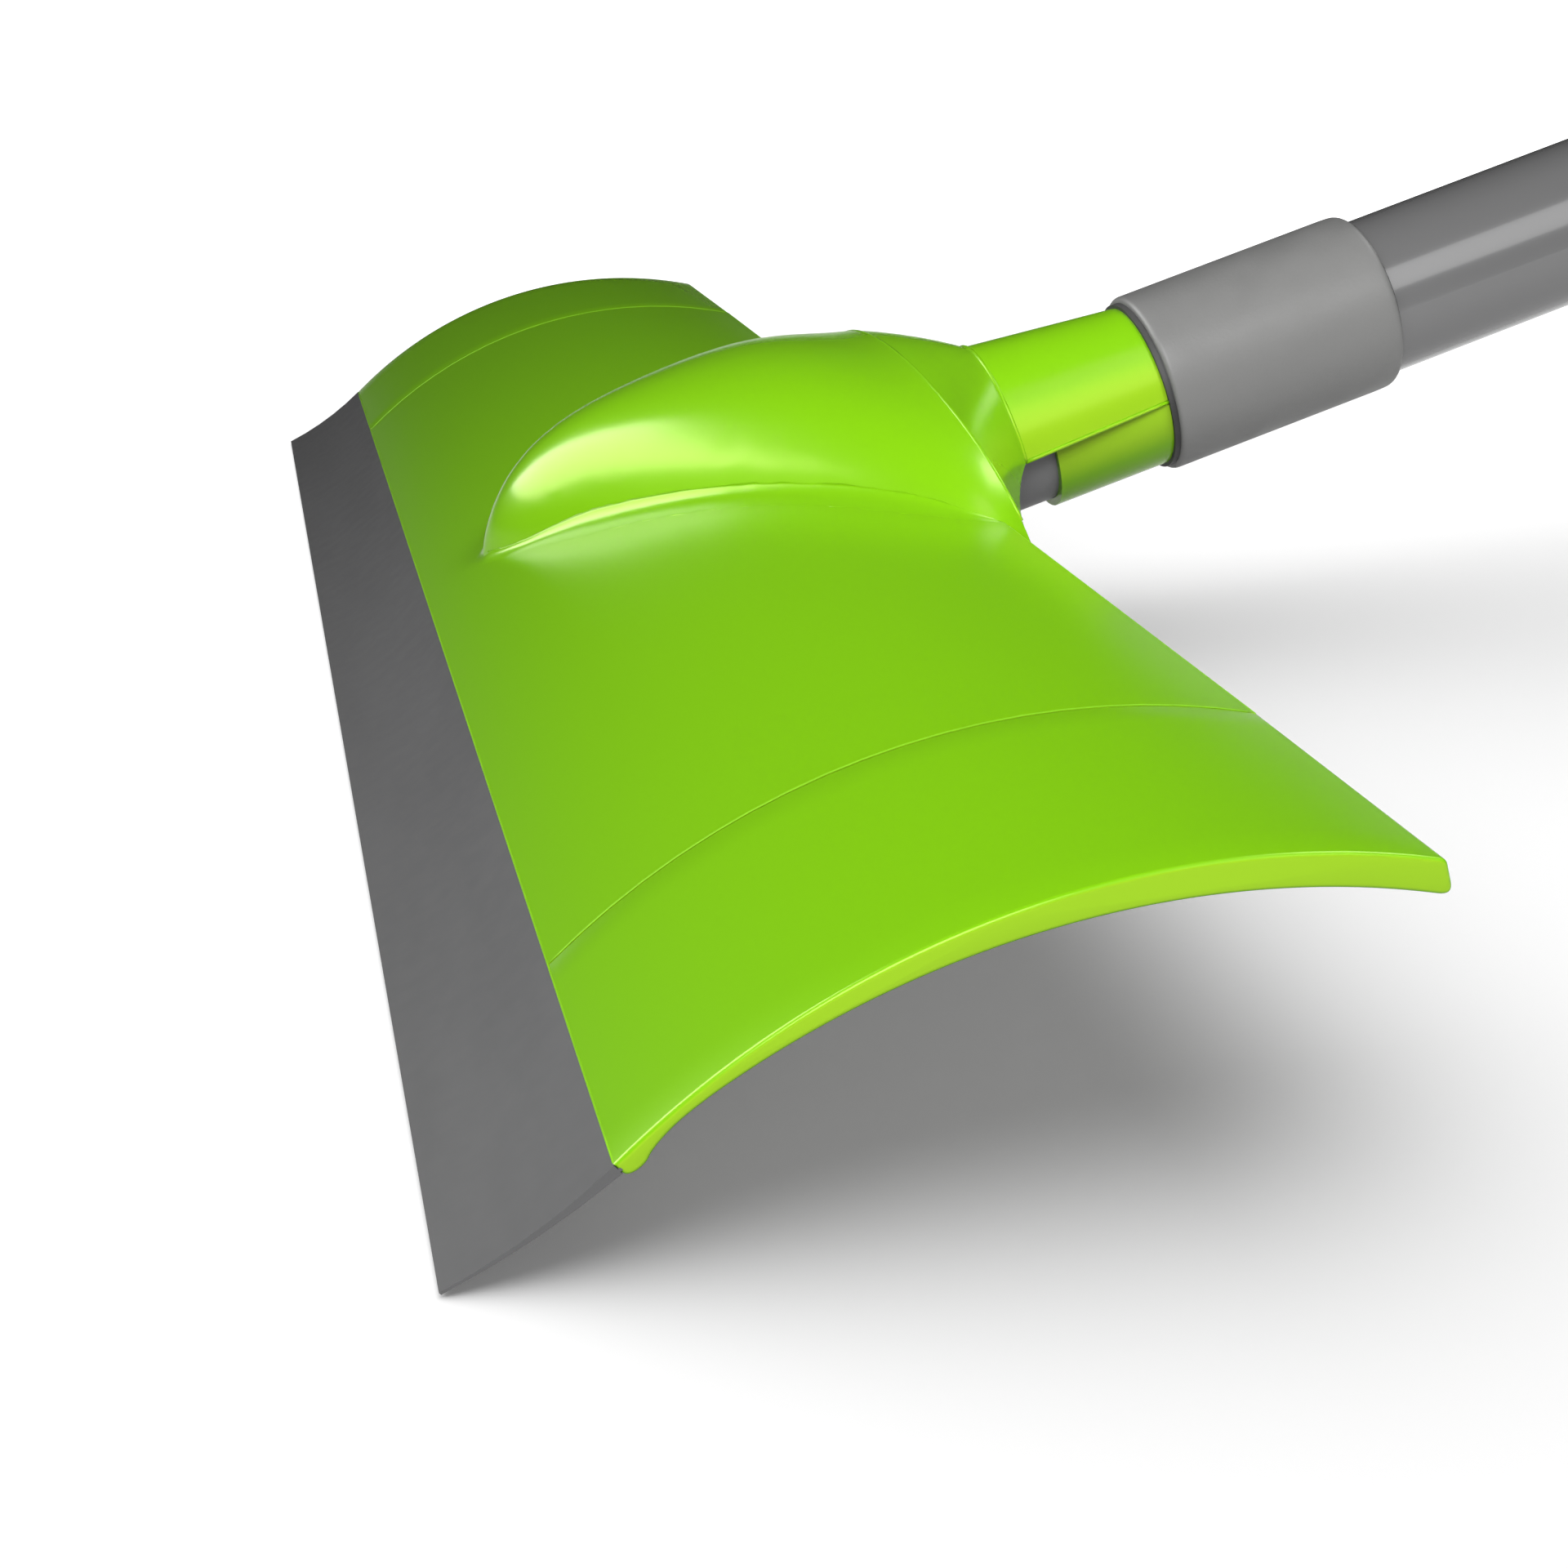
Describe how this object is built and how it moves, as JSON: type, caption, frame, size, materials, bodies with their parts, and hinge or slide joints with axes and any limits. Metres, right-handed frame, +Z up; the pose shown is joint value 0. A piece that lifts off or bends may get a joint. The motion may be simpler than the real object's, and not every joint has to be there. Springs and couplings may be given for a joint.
{
  "type": "window squeegee",
  "caption": "Arched window squeegee head with a rubber wiping blade and a hollow moulded hump that takes a screw-in pole with a collar and a hanging eye.",
  "frame": {"origin": "middle of the wiping edge, on the floor under the blade", "axes": "+X along the wiping edge, +Y from the blade towards the pole, +Z up from the floor; the pole rises 18 degrees from +Y"},
  "size_m": [0.308, 0.5763, 0.1929],
  "materials": {
    "head_plastic": "glossy lime green moulding",
    "blade_rubber": "matt dark grey",
    "washer_rubber": "matt black",
    "adapter_plastic": "satin grey",
    "collar_plastic": "matt light grey",
    "pole_metal": "gloss grey enamel",
    "cap_plastic": "matt light grey"
  },
  "bodies": {
    "head": {"head_shell": "head_plastic", "end_section_left": "head_plastic", "end_section_right": "head_plastic", "wiper_blade": "blade_rubber"},
    "washer": {"thrust_washer": "washer_rubber"},
    "pole": {"pole_adapter": "adapter_plastic", "collar": "collar_plastic", "pole_tube": "pole_metal", "hanging_cap": "cap_plastic"}
  },
  "joints": [
    {"name": "pole_travel", "type": "slide", "parent": "head", "child": "washer", "axis": [0, 0.9511, 0.309], "range_m": [0, 0.025]},
    {"name": "pole_turn", "type": "hinge", "parent": "washer", "child": "pole", "pos_m": [0, 0.11255, 0.03448], "axis": [0, 0.9511, 0.309], "range_deg": [0, 1800]}
  ],
  "couplings": [
    {"joint": "pole_turn", "follows": "pole_travel", "rad_per_m": 1256.6}
  ]
}
